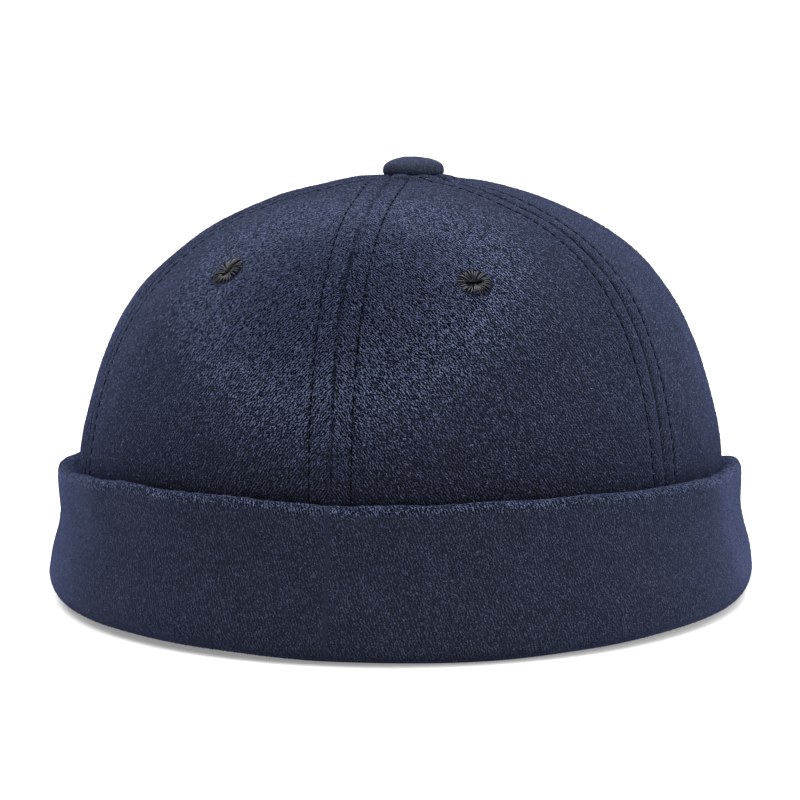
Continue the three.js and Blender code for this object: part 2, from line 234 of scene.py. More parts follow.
# Button, and its profile in shares of its radius and height
BUTTON_CENTRE = (5.6, -14.6)
BUTTON_RADIUS = 8.35
BUTTON_HEIGHT = 5.1
BUTTON_BASE = APEX_HEIGHT + GAP
BUTTON_SIDES = 96
BUTTON_UNDER = 0.16
BUTTON_DENT_BAND = (0.1, 0.6)
BUTTON_PROFILE = (
    (0.35, 0.12),
    (0.7, 0.05),
    (0.86, 0.0),
    (0.955, 0.07),
    (0.99, 0.17),
    (1.0, 0.31),
    (0.983, 0.47),
    (0.94, 0.61),
    (0.86, 0.735),
    (0.75, 0.835),
    (0.6, 0.915),
    (0.42, 0.967),
    (0.22, 0.993),
)

# Wool: its colours, where they stand on the scale from deep to light, and its sheen
DARK_WOOL = (0.0006, 0.0007, 0.0010)
MID_WOOL = (0.0054, 0.0064, 0.0101)
LIGHT_WOOL = (0.083, 0.098, 0.17)
WOOL_STOPS = (0.12, 0.5, 0.95)
SHEEN_TINT = (0.36, 0.435, 0.92)
SHEEN_ROUGHNESS = 0.42

# Grain of the wool: streaks and specks along the twill, its ribs, a fine grain and a broad mottle
WOOL_GAIN = 1.6
STREAK_TURN = math.radians(55)
CUFF_TURN = math.radians(72)
STREAK_SCALE = (2.8, 3.8)
STREAK_SHARE = 0.55
SPECK_SCALE = (2.3, 1.8)
SPECK_GAIN = 3.1
TWILL_PITCH = 0.76
TWILL_WANDER = 3.5
TWILL_JUMP = 4.0
GRAIN_SCALE = 4200.0
GRAIN_DEPTH = 0.00025
MOTTLE = 0.03
MOTTLE_SCALE = 130.0

# What the painted highlight adds to the contrast and takes from the level and the light, and how dark painted
# shade can get
HIGHLIGHT_GAIN = 10.2
HIGHLIGHT_LEVEL = -0.14
HIGHLIGHT_DULLING = 0.7
SHADE_DARKNESS = 0.85

# Loose fibres: how far they stand off the cloth, how they vary, and where they grow
FIBRE_STAND = 0.16
FIBRE_SINK = 0.05
FIBRE_TIP = 1.6
FIBRE_ARCH = (0.3, 1.0)
FIBRE_LEAST_ARCH = 0.01
FIBRE_WIDTHS = (0.7, 1.3)
CROWN_FIBRES = 49000
CROWN_FIBRE_SEED = 71
CUFF_FIBRES = 30000
CUFF_FIBRE_SEED = 72
HIGHLIGHT_DENSITY = 1.8
SHADE_THINNING = 0.8
RIM_DENSITY = 7.0
CROWN_NAP_START = TUCK_BAND[1] - 4.0
CUFF_NAP_START = 0.8
FIBRE_COLOURS = (
    (0.0, (0.004, 0.005, 0.011)),
    (0.6, (0.028, 0.035, 0.079)),
    (1.0, (0.105, 0.129, 0.235)),
)
FIBRE_SHEEN_TINT = (0.32, 0.4, 0.85)

# Threads and steel
EYELET_BLACK = (0.0010, 0.0014, 0.0036)
SEAM_BLACK = (0.0012, 0.0013, 0.002)
THREAD_LIGHTER = 2.5
PLY_SCALE = 3200.0
PLY_DEPTH = 0.0001
MARK_SCALE = 900.0
STEEL_SHADES = ((0.3, (0.38, 0.39, 0.41)), (0.7, (0.50, 0.51, 0.53)))

# Studio: parts of the sky as direction, sharpness and strength, and lamps as name, place, target, size
# and power, in metres and watts
SKY_LOBES = (
    ((0, 0, 1), 4.0, 5.3),
    ((0, 1, 0.4), 3.0, 2.6),
)
AREA_LIGHTS = (
    ("top_light", (0.08, 0.05, 0.75), (0, 0, 0.08), (0.5, 0.5), 5.4),
    ("top_left_light", (-0.5, -0.1, 0.9), (0, 0, 0.08), (0.5, 0.5), 3.3),
    ("left_light", (-1.0, -0.3, 0.2), (0, 0, 0.04), (0.9, 0.9), 2.4),
    ("right_light", (0.95, -0.5, 0.16), (0, 0, 0.04), (0.9, 0.9), 9.4),
)
FLOOR_COLOUR = (0.75, 0.75, 0.75)
FLOOR_GLOW = 0.26
FLOOR_REACH = 30000.0

# Camera, from the photograph
CAMERA_DISTANCE = 900.0
CAMERA_HEIGHT = 175.5
CAMERA_AZIMUTH = 0.172
CAMERA_HEADING = 0.1727
CAMERA_PITCH = 0.1357
CAMERA_LENS = 146.75
CAMERA_SENSOR = 36.0


def smoothstep(value, low, high):
    """Rises smoothly from 0 at low to 1 at high."""
    share = np.clip((value - low) / (high - low), 0.0, 1.0)
    return share * share * (3.0 - 2.0 * share)


def unit(vectors):
    return vectors / np.maximum(np.linalg.norm(vectors, axis=-1, keepdims=True), 1e-12)


def soft_noise(points, wavelength, seed, waves=14):
    """A smooth field from -1 to 1 or so, made of plane waves in random directions."""
    rng = np.random.default_rng(seed)
    directions = unit(rng.normal(size=(waves, 3)))
    lengths = wavelength * rng.uniform(0.7, 1.5, waves)
    phases = rng.uniform(0, 2 * math.pi, waves)
    total = np.zeros(points.shape[:-1])
    for direction, length, phase in zip(directions, lengths, phases):
        total += np.sin(points @ direction * (2 * math.pi / length) + phase)
    return total / math.sqrt(waves)


def unevenness(points, waves):
    """Sum of soft fields, each with its height, wavelength and seed."""
    return sum(height * soft_noise(points, wavelength, seed) for height, wavelength, seed in waves)


def distances_along(path):
    """Distance of each point of a path from its start."""
    gaps = np.linalg.norm(np.diff(path, axis=0), axis=-1)
    return np.concatenate([[0.0], np.cumsum(gaps)])


def sample(columns, distances, places):
    """Rows of a table at other places along a path, between those at the given distances."""
    return np.stack([np.interp(places, distances, column) for column in columns.T], axis=1)


# Shape of the crown


def rise_at(height):
    return (height - TURN_HEIGHT) / (APEX_HEIGHT - TURN_HEIGHT)


def ring_radius(rise):
    up = np.clip(rise, 0.0, 1.0)
    slim = 1.0 - SLIMMING * np.sin(math.pi * up) ** 2
    return HALF_WIDTH * slim * (1.0 - up**RISE_POWER) ** (1.0 / ROUND_POWER)


def ring_centre(rise):
    up = np.clip(rise, 0.0, 1.0)
    settled = smoothstep(up, *JUNCTION_BAND)
    x = LEAN_X * up**LEAN_POWER_X
    y = LEAN_Y * up**LEAN_POWER_Y
    return x + (JUNCTION[0] - x) * settled, y + (JUNCTION[1] - y) * settled


def crown_point(angle, rise):
    centre_x, centre_y = ring_centre(rise)
    radius = ring_radius(rise)
    height = TURN_HEIGHT + (APEX_HEIGHT - TURN_HEIGHT) * rise
    x = centre_x + radius * np.sin(angle)
    y = centre_y - radius * OVAL * np.cos(angle)
    return np.stack(np.broadcast_arrays(x, y, height), axis=-1)


def crown_normal(angle, rise):
    low = np.minimum(rise, 1.0 - 2.0 * SLOPE_STEP)
    around = crown_point(angle + SLOPE_STEP, low) - crown_point(angle - SLOPE_STEP, low)
    upward = crown_point(angle, low + SLOPE_STEP) - crown_point(angle, low - SLOPE_STEP)
    return unit(np.cross(around, upward))


def seam_angle(foot_degrees, rise):
    """Angle at which the straight seam from its foot to the junction crosses the ring."""
    foot = crown_point(np.array(math.radians(foot_degrees)), np.array(0.0))[:2]
    along = unit(foot - JUNCTION)
    centre_x, centre_y = ring_centre(rise)
    start_x = JUNCTION[0] - centre_x
    start_y = JUNCTION[1] - centre_y
    a = along[0] ** 2 + (along[1] / OVAL) ** 2
    b = 2.0 * (start_x * along[0] + start_y * along[1] / OVAL**2)
    c = start_x**2 + (start_y / OVAL) ** 2 - ring_radius(rise) ** 2
    reach = (-b + np.sqrt(np.maximum(b * b - 4.0 * a * c, 0.0))) / (2.0 * a)
    return np.arctan2(start_x + reach * along[0], -(start_y + reach * along[1]) / OVAL)


def arc_scale(angle, rise):
    """Distance round the crown for one radian of angle."""
    apart = crown_point(angle + SLOPE_STEP, rise) - crown_point(angle - SLOPE_STEP, rise)
    return np.linalg.norm(apart, axis=-1) / (2.0 * SLOPE_STEP)


def cloth_lift(points, edge):
    """Height of the sewn cloth over the plain crown, by the distance from the nearest seam."""
    groove = -SEAM_DEPTH * np.exp(-((edge / SEAM_WIDTH) ** SEAM_SHARPNESS))
    double = ALLOWANCE_PROUD * (1.0 - smoothstep(edge, *ALLOWANCE_FADE))
    pillow = PILLOW * np.exp(-(((edge - STITCH_DISTANCE / 2) / PILLOW_WIDTH) ** 2))
    row = -STITCH_DIP * np.exp(-(((edge - STITCH_DISTANCE) / STITCH_DIP_WIDTH) ** 2))
    from_button = points[..., :2] - BUTTON_CENTRE
    away = np.linalg.norm(from_button, axis=-1)
    ring = np.exp(-(((away - PUFF_RADIUS) / PUFF_WIDTH) ** 2)) * (points[..., 2] > APEX_HEIGHT / 2)
    ahead = smoothstep(from_button @ np.array(PUFF_TOWARDS) / np.maximum(away, 0.1), *PUFF_BAND)
    puff = PUFF_HEIGHT * ring * ahead * (PUFF_LEVEL + unevenness(points, PUFF_WAVES))
    uneven = CROWN_PROUD + unevenness(points, CROWN_WAVES)
    return groove + double + pillow + row + puff + uneven


def crown_cloth(angle, rise, edge):
    """Outside of the sewn cloth, inside of its inner layer, and the direction between them."""
    base = crown_point(angle, rise)
    normal = crown_normal(angle, rise)
    tuck = TUCK_DEPTH * (1.0 - smoothstep(base[..., 2], *TUCK_BAND))
    lift = cloth_lift(base, edge) * smoothstep(base[..., 2], TUCK_BAND[0], TUCK_BAND[1])
    outer = base + normal * (lift - tuck)[..., None]
    open_above = base[..., 2] > ALLOWANCE_START
    doubled = (1.0 - smoothstep(edge, *ALLOWANCE_STEP)) * open_above
    inner = base - normal * (CLOTH * (1.0 + doubled) + tuck)[..., None]
    return outer, inner, normal


def eyelet_seat(angle, height):
    """Middle of an eyelet on the plain crown, and the direction that it faces."""
    place = np.array(math.radians(angle)), np.array(rise_at(height))
    return crown_point(*place), crown_normal(*place)


def eyelet_centres():
    return [eyelet_seat(angle, height)[0] for _, angle, height in EYELETS]


class Panel:
    """One of the six panels of the crown, as a grid of rows up it and columns across it."""

    def __init__(self, index):
        self.index = index
        tip_rise = (1.0 - (JUNCTION_HOLE / HALF_WIDTH) ** ROUND_POWER) ** (1.0 / RISE_POWER)
        wall = np.linspace(rise_at(CROWN_FOOT), 0.0, WALL_SAMPLES)[:-1]
        dome = np.sin(np.linspace(0.0, math.asin(tip_rise), DOME_SAMPLES))
        fine = np.concatenate([wall, dome])
        first, last = self.seams(fine)
        length = distances_along(crown_point((first + last) / 2, fine))
        self.along = np.linspace(0.0, length[-1], PANEL_ROWS)
        self.rises = np.interp(self.along, length, fine)
        self.first, self.last = self.seams(self.rises)
        self.first_scale = arc_scale(self.first, self.rises)
        self.last_scale = arc_scale(self.last, self.rises)
        self.fill_grid()

    def seams(self, rises):
        """Angles of the seams at the panel's two sides, at the given rises."""
        first = np.unwrap(seam_angle(SEAM_FEET[self.index], rises))
        last = np.unwrap(seam_angle(SEAM_FEET[(self.index + 1) % len(SEAM_FEET)], rises))
        return first, np.where(last < first, last + 2 * math.pi, last)

    def fill_grid(self):
        """Points of both faces, the cloth's own coordinates, the painted shade and the painted highlight."""
        scale = (self.first_scale + self.last_scale) / 2
        width = (self.last - self.first) * scale
        squeeze = np.minimum(1.0, width / (NARROW_PANEL * EDGE_COLUMNS[-1]))
        near = EDGE_COLUMNS[None, :] * squeeze[:, None]
        left = self.first[:, None] + near / self.first_scale[:, None]
        right = self.last[:, None] - near[:, ::-1] / self.last_scale[:, None]
        shares = np.linspace(0, 1, MIDDLE_COLUMNS + 2)[1:-1]
        middle = left[:, -1:] + (right[:, :1] - left[:, -1:]) * shares[None, :]
        angle = np.concatenate([left, middle, right], axis=1)
        rise = np.repeat(self.rises[:, None], angle.shape[1], axis=1)
        from_first = (angle - self.first[:, None]) * self.first_scale[:, None]
        from_last = (self.last[:, None] - angle) * self.last_scale[:, None]
        edge = np.maximum(np.minimum(from_first, from_last), 0.0)
        self.outer, self.inner, self.normal = crown_cloth(angle, rise, edge)
        across = (angle - ((self.first + self.last) / 2)[:, None]) * scale[:, None]
        self.mirror = 1.0 if self.index % 2 == 0 else -1.0
        upward = np.repeat(self.along[:, None], angle.shape[1], axis=1)
        self.uv = np.stack([across * self.mirror, upward], axis=-1)
        # Painted shade along the seams and rows, round the eyelets and low on the crown above the cuff
        uneven = SHADE_LEVEL + unevenness(self.outer, SHADE_WAVES)
        last_tone = SEAM_TONES[(self.index + 1) % len(SEAM_TONES)][0]
        tone = np.where(from_first < from_last, SEAM_TONES[self.index][1], last_tone)
        seam = SEAM_SHADE * np.exp(-((edge / SEAM_SHADE_WIDTH) ** 2))
        row = ROW_SHADE * np.exp(-(((edge - STITCH_DISTANCE) / ROW_SHADE_WIDTH) ** 2))
        self.shade = np.maximum(seam, row) * uneven * tone
        for centre in eyelet_centres():
            away = np.linalg.norm(self.outer - centre, axis=-1)
            self.shade = np.maximum(self.shade, 1.0 - smoothstep(away, *EYELET_SHADE_BAND))
        fold = FOLD_SHADE * (1.0 - smoothstep(self.outer[..., 2], *FOLD_SHADE_BAND))
        self.shade = np.clip(np.maximum(self.shade, fold), 0.0, 1.0)
        # Painted highlight: strongest where the cloth faces the light that catches its nap
        toward = self.normal @ unit(np.array(HIGHLIGHT_TOWARDS))
        self.brushed = smoothstep(toward, *HIGHLIGHT_BAND) ** HIGHLIGHT_CURVE


# Meshes


def closed_sheet(outer, inner):
    """Quads of a closed sheet from an outer and an inner grid of the same size."""
    rows, columns = outer.shape[:2]
    ids = np.arange(rows * columns).reshape(rows, columns)
    back = ids + rows * columns

    def quads(a, b, c, d):
        return np.stack([a.ravel(), b.ravel(), c.ravel(), d.ravel()], axis=1)

    faces = [
        quads(ids[:-1, :-1], ids[:-1, 1:], ids[1:, 1:], ids[1:, :-1]),
        quads(back[:-1, :-1], back[1:, :-1], back[1:, 1:], back[:-1, 1:]),
        quads(ids[:-1, 0], ids[1:, 0], back[1:, 0], back[:-1, 0]),
        quads(back[:-1, -1], back[1:, -1], ids[1:, -1], ids[:-1, -1]),
        quads(back[0, :-1], back[0, 1:], ids[0, 1:], ids[0, :-1]),
        quads(ids[-1, :-1], ids[-1, 1:], back[-1, 1:], back[-1, :-1]),
    ]
    points = np.concatenate([outer.reshape(-1, 3), inner.reshape(-1, 3)])
    return points, np.concatenate(faces)


def make_object(name, points, faces, material, uv=None, **values):
    """A mesh object from arrays. faces is one array of triangles or quads, or a list of both."""
    groups = faces if isinstance(faces, list) else [faces]
    loops = np.concatenate([group.ravel() for group in groups]).astype(np.int32)
    sizes = np.concatenate([np.full(len(group), group.shape[1]) for group in groups])
    starts = np.concatenate([[0], np.cumsum(sizes)[:-1]]).astype(np.int32)
    mesh = bpy.data.meshes.new(name)
    mesh.vertices.add(len(points))
    mesh.vertices.foreach_set("co", (np.asarray(points) * MM).astype(np.float32).ravel())
    mesh.loops.add(len(loops))
    mesh.loops.foreach_set("vertex_index", loops)
    mesh.polygons.add(len(sizes))
    mesh.polygons.foreach_set("loop_start", starts)
    mesh.polygons.foreach_set("use_smooth", np.ones(len(sizes), bool))
    mesh.update(calc_edges=True)
    mesh.validate()
    if uv is not None:
        layer = mesh.uv_layers.new(name="cloth")
        layer.data.foreach_set("uv", uv[loops].astype(np.float32).ravel())
    for label, numbers in values.items():
        attribute = mesh.attributes.new(label, "FLOAT", "POINT")
        attribute.data.foreach_set("value", numbers.astype(np.float32))
    mesh.materials.append(material)
    made = bpy.data.objects.new(name, mesh)
    bpy.context.scene.collection.objects.link(made)
    return made


def tube(path, normals, radii, sides=6):
    """A closed tube along a path, as points and a list of quads and end triangles."""
    tangent = unit(np.gradient(path, axis=0))
    across = unit(np.cross(tangent, normals))
    upward = np.cross(across, tangent)
    turn = np.linspace(0, 2 * math.pi, sides, endpoint=False)
    ring = across[:, None] * np.cos(turn)[None, :, None] + upward[:, None] * np.sin(turn)[None, :, None]
    points = (path[:, None] + ring * np.asarray(radii)[:, None, None]).reshape(-1, 3)
    count = len(path)
    ids = np.arange(count * sides).reshape(count, sides)
    nxt = np.roll(ids, -1, axis=1)
    quads = np.stack([ids[:-1], ids[1:], nxt[1:], nxt[:-1]], axis=-1).reshape(-1, 4)
    points = np.concatenate([points, path[:1], path[-1:]])
    start = np.full(sides, count * sides)
    finish = start + 1
    caps = np.concatenate(
        [np.stack([start, ids[0], nxt[0]], axis=1), np.stack([finish, nxt[-1], ids[-1]], axis=1)]
    )
    return points, quads, caps


def join_tubes(tubes):
    """Points of all the tubes, and a list of all their quads and end triangles."""
    points, quads, caps = [], [], []
    total = 0
    for tube_points, tube_quads, tube_caps in tubes:
        points.append(tube_points)
        quads.append(tube_quads + total)
        caps.append(tube_caps + total)
        total += len(tube_points)
    return np.concatenate(points), [np.concatenate(quads), np.concatenate(caps)]


# Materials


def set_inputs(node, values):
    for key, value in values.items():
        node.inputs[key].default_value = value


def new_material(name, looks):
    """A material with its nodes, its links and its main shader, whose sockets get the looks."""
    material = bpy.data.materials.new(name)
    material.use_nodes = True
    nodes = material.node_tree.nodes
    shader = nodes["Principled BSDF"]
    set_inputs(shader, looks)
    return material, nodes, material.node_tree.links, shader


def add_node(nodes, kind, settings=None, inputs=None):
    """A new node with its settings and the values of its sockets."""
    node = nodes.new(kind)
    for key, value in (settings or {}).items():
        setattr(node, key, value)
    set_inputs(node, inputs or {})
    return node


def math_node(nodes, links, operation, first, second):
    """Output of a sum, product or the like of two sockets or numbers."""
    node = add_node(nodes, "ShaderNodeMath", {"operation": operation})
    for socket, value in zip(node.inputs, (first, second)):
        if isinstance(value, (int, float)):
            socket.default_value = value
        else:
            links.new(value, socket)
    return node.outputs[0]


def ramp(nodes, links, source, stops):
    """Colour output of a ramp through stops of position and colour."""
    node = add_node(nodes, "ShaderNodeValToRGB")
    elements = node.color_ramp.elements
    while len(elements) < len(stops):
        elements.new(0.5)
    for element, (position, colour) in zip(elements, stops):
        element.position = position
        element.color = (*colour, 1.0)
    links.new(source, node.inputs["Fac"])
    return node.outputs["Color"]


def wool_material(name, lightness, contrast, sheen=0.053, coarse=1.0, turn=STREAK_TURN, bump=0.7):
    """Napped wool: fine specks along the twill, with more contrast under a painted highlight and darker under
    painted shade.
    """
    looks = {
        "Roughness": 0.95,
        "Specular IOR Level": 0.0,
        "Sheen Weight": sheen,
        "Sheen Roughness": SHEEN_ROUGHNESS,
        "Sheen Tint": (*SHEEN_TINT, 1.0),
    }
    material, nodes, links, shader = new_material(name, looks)

    def combine(operation, first, second):
        return math_node(nodes, links, operation, first, second)

    uv = add_node(nodes, "ShaderNodeUVMap", {"uv_map": "cloth"})
    turned = add_node(nodes, "ShaderNodeMapping")
    turned.inputs["Rotation"].default_value = (0, 0, turn)
    links.new(uv.outputs["UV"], turned.inputs["Vector"])
    stretched = add_node(nodes, "ShaderNodeMapping")
    stretched.inputs["Scale"].default_value = (STREAK_SCALE[0] / coarse, STREAK_SCALE[1] / coarse, 1.0)
    links.new(turned.outputs["Vector"], stretched.inputs["Vector"])
    streaks = add_node(nodes, "ShaderNodeTexNoise", None, {"Scale": 1.0, "Detail": 0.0, "Roughness": 0.5})
    links.new(stretched.outputs["Vector"], streaks.inputs["Vector"])
    place = add_node(nodes, "ShaderNodeTexCoord")
    grain = add_node(
        nodes, "ShaderNodeTexNoise", None, {"Scale": GRAIN_SCALE / coarse, "Detail": 0.0, "Roughness": 0.5}
    )
    links.new(place.outputs["Object"], grain.inputs["Vector"])
    mottle = add_node(
        nodes, "ShaderNodeTexNoise", None, {"Scale": MOTTLE_SCALE, "Detail": 3.0, "Roughness": 0.6}
    )
    links.new(place.outputs["Object"], mottle.inputs["Vector"])
    streak_part = combine("MULTIPLY", streaks.outputs["Fac"], STREAK_SHARE)
    grain_part = combine("MULTIPLY", grain.outputs["Fac"], 1.0 - STREAK_SHARE)
    mixed = combine("ADD", streak_part, grain_part)
    spread = combine("SUBTRACT", mixed, 0.5)
    specked = add_node(nodes, "ShaderNodeMapping")
    specked.inputs["Scale"].default_value = (*SPECK_SCALE, 1.0)
    links.new(turned.outputs["Vector"], specked.inputs["Vector"])
    specks = add_node(nodes, "ShaderNodeTexVoronoi", {"voronoi_dimensions": "2D"}, {"Scale": 1.0})
    links.new(specked.outputs["Vector"], specks.inputs["Vector"])
    speck = add_node(nodes, "ShaderNodeSeparateColor")
    links.new(specks.outputs["Color"], speck.inputs["Color"])
    twill = add_node(
        nodes,
        "ShaderNodeTexWave",
        {"bands_direction": "Y"},
        {"Scale": math.pi / (10.0 * TWILL_PITCH * coarse), "Distortion": TWILL_WANDER, "Detail Scale": 5.0},
    )
    links.new(turned.outputs["Vector"], twill.inputs["Vector"])
    jumps = combine("MULTIPLY", speck.outputs["Green"], TWILL_JUMP)
    links.new(jumps, twill.inputs["Phase Offset"])
    # Painted highlight: under it the specks gain contrast and the level drops, standing in for light caught
    # by the nap
    raised = add_node(nodes, "ShaderNodeAttribute", {"attribute_name": "brushed"}).outputs["Fac"]
    more = combine("MULTIPLY", raised, HIGHLIGHT_GAIN * contrast)
    gain = combine("ADD", more, contrast)
    streaked = combine("MULTIPLY", spread, WOOL_GAIN)
    ribbed = combine("SUBTRACT", twill.outputs["Fac"], 0.5)
    speckled = combine("MULTIPLY", speck.outputs["Red"], ribbed)
    both = combine("ADD", streaked, combine("MULTIPLY", speckled, SPECK_GAIN))
    sharper = combine("MULTIPLY", both, gain)
    mottled = combine("SUBTRACT", mottle.outputs["Fac"], 0.5)
    faint = combine("MULTIPLY", mottled, MOTTLE)
    total = combine("ADD", sharper, faint)
    deeper = combine("MULTIPLY", raised, HIGHLIGHT_LEVEL)
    level = combine("ADD", combine("ADD", total, deeper), 0.5)
    shades = [tuple(part * lightness for part in wool) for wool in (DARK_WOOL, MID_WOOL, LIGHT_WOOL)]
    colour = ramp(nodes, links, level, list(zip(WOOL_STOPS, shades)))
    # Painted shade, and the dulling under the painted highlight, both darken the colour towards the deepest
    # wool
    shaded = add_node(nodes, "ShaderNodeAttribute", {"attribute_name": "shade"})
    darker = add_node(nodes, "ShaderNodeMix", {"data_type": "RGBA"})
    hidden = combine("MULTIPLY", shaded.outputs["Fac"], SHADE_DARKNESS)
    dulled = combine("MULTIPLY", raised, HIGHLIGHT_DULLING)
    open_share = combine("SUBTRACT", 1.0, hidden)
    bright_share = combine("SUBTRACT", 1.0, dulled)
    kept = combine("MULTIPLY", open_share, bright_share)
    links.new(combine("SUBTRACT", 1.0, kept), darker.inputs["Factor"])
    links.new(colour, darker.inputs[6])
    darker.inputs[7].default_value = (*DARK_WOOL, 1.0)
    links.new(darker.outputs[2], shader.inputs["Base Color"])
    rough = add_node(nodes, "ShaderNodeBump", None, {"Strength": bump, "Distance": GRAIN_DEPTH})
    links.new(mixed, rough.inputs["Height"])
    links.new(rough.outputs["Normal"], shader.inputs["Normal"])
    return material


def nap_material():
    """Loose fibres, each with its own depth of blue."""
    looks = {
        "Roughness": 0.8,
        "Specular IOR Level": 0.02,
        "Sheen Weight": 0.16,
        "Sheen Tint": (*FIBRE_SHEEN_TINT, 1.0),
    }
    material, nodes, links, shader = new_material("wool_fibre", looks)
    tone = add_node(nodes, "ShaderNodeAttribute", {"attribute_name": "tone"})
    colour = ramp(nodes, links, tone.outputs["Fac"], FIBRE_COLOURS)
    links.new(colour, shader.inputs["Base Color"])
    return material


def thread_material(name, colour, glint):
    """Sewing thread with a fine uneven shade and a soft glint."""
    looks = {"Roughness": 0.33, "Specular IOR Level": glint}
    material, nodes, links, shader = new_material(name, looks)
    place = add_node(nodes, "ShaderNodeTexCoord")
    plies = add_node(nodes, "ShaderNodeTexNoise", None, {"Scale": PLY_SCALE, "Detail": 1.0})
    links.new(place.outputs["Object"], plies.inputs["Vector"])
    lighter = tuple(value * THREAD_LIGHTER for value in colour)
    shade = ramp(nodes, links, plies.outputs["Fac"], [(0.35, colour), (0.75, lighter)])
    links.new(shade, shader.inputs["Base Color"])
    bump = add_node(nodes, "ShaderNodeBump", None, {"Strength": 0.5, "Distance": PLY_DEPTH})
    links.new(plies.outputs["Fac"], bump.inputs["Height"])
    links.new(bump.outputs["Normal"], shader.inputs["Normal"])
    return material


def metal_material():
    """Plain satin steel with faint marks."""
    looks = {"Metallic": 1.0, "Roughness": 0.38}
    material, nodes, links, shader = new_material("post_steel", looks)
    place = add_node(nodes, "ShaderNodeTexCoord")
    marks = add_node(nodes, "ShaderNodeTexNoise", None, {"Scale": MARK_SCALE, "Detail": 3.0})
    links.new(place.outputs["Object"], marks.inputs["Vector"])
    shade = ramp(nodes, links, marks.outputs["Fac"], STEEL_SHADES)
    links.new(shade, shader.inputs["Base Color"])
    return material


def floor_material():
    """A pale matt floor with a faint light of its own."""
    looks = {
        "Base Color": (*FLOOR_COLOUR, 1.0),
        "Emission Color": (1, 1, 1, 1),
        "Emission Strength": FLOOR_GLOW,
        "Roughness": 0.9,
        "Specular IOR Level": 0.0,
    }
    return new_material("pale_floor", looks)[0]


# Pieces of the crown


def cut_hole(target, angle, height):
    """Cuts the round hole of an eyelet through a panel."""
    centre, normal = eyelet_seat(angle, height)
    path = np.stack([centre + normal * reach for reach in CUTTER_REACH])
    asides = np.repeat(unit(np.cross(normal, [0.0, 0.0, 1.0]))[None], len(path), axis=0)
    points, quads, caps = tube(path, asides, [EYELET_HOLE] * len(path), CUTTER_SIDES)
    cutter = make_object("cutter", points, [quads, caps], target.data.materials[0])
    modifier = target.modifiers.new("hole", "BOOLEAN")
    modifier.operation = "DIFFERENCE"
    modifier.solver = "EXACT"
    modifier.object = cutter
    graph = bpy.context.evaluated_depsgraph_get()
    cut = bpy.data.meshes.new_from_object(target.evaluated_get(graph))
    target.modifiers.clear()
    target.data = cut
    bpy.data.objects.remove(cutter)


def build_panels(panels, material):
    """The six cloth panels, two of them with the hole of an eyelet."""
    for panel in panels:
        points, faces = closed_sheet(panel.outer, panel.inner)
        uv = np.concatenate([panel.uv.reshape(-1, 2)] * 2)
        number = panel.index + 1
        shade = np.concatenate([panel.shade.ravel()] * 2)
        brushed = np.concatenate([panel.brushed.ravel()] * 2)
        name = f"crown_cloth_{number}"
        cloth = make_object(name, points, faces, material, uv, shade=shade, brushed=brushed)
        for in_panel, angle, height in EYELETS:
            if in_panel == number:
                cut_hole(cloth, angle, height)
        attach(cloth, "root")
        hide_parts(f"crown_panel_{number}")


def stitch_rows(panel):
    """Paths of the two rows of stitches on a panel, one beside each of its seams."""
    fine = np.interp(np.linspace(0, 1, STITCH_SAMPLES), np.linspace(0, 1, PANEL_ROWS), panel.rises)
    first, last = panel.seams(fine)
    rows = []
    for start, sign in ((first, 1.0), (last, -1.0)):
        angle = start + sign * STITCH_DISTANCE / arc_scale(start, fine)
        keep = (last - first) * arc_scale(start, fine) > 2.0 * STITCH_DISTANCE + STITCH_ROOM
        edge = np.full(fine.shape, STITCH_DISTANCE)
        outer, _, normal = crown_cloth(angle, fine, edge)
        keep &= outer[:, 2] > TUCK_BAND[0]
        rows.append((outer[keep], normal[keep]))
    return rows


def build_stitches(panels, material):
    """Every stitch is a short thread that rises from the cloth and dives back into it."""
    steps = np.linspace(0, 1, STITCH_STEPS)
    arch = np.sin(np.pi * steps) ** STITCH_ARCH
    radii = THREAD_RADIUS * (THREAD_THINNEST + (1.0 - THREAD_THINNEST) * arch)
    for panel in panels:
        tubes = []
        for path, normal in stitch_rows(panel):
            length = distances_along(path)
            for start in np.arange(STITCH_START, length[-1] - STITCH_PITCH, STITCH_PITCH):
                places = start + steps * STITCH_LENGTH
                upward = unit(sample(normal, length, places))
                rise = STITCH_RISE * arch - STITCH_SINK
                centre = sample(path, length, places) + upward * rise[:, None]
                tubes.append(tube(centre, upward, radii))
        points, faces = join_tubes(tubes)
        row = make_object(f"topstitch_{panel.index + 1}", points, faces, material)
        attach(row, "root")


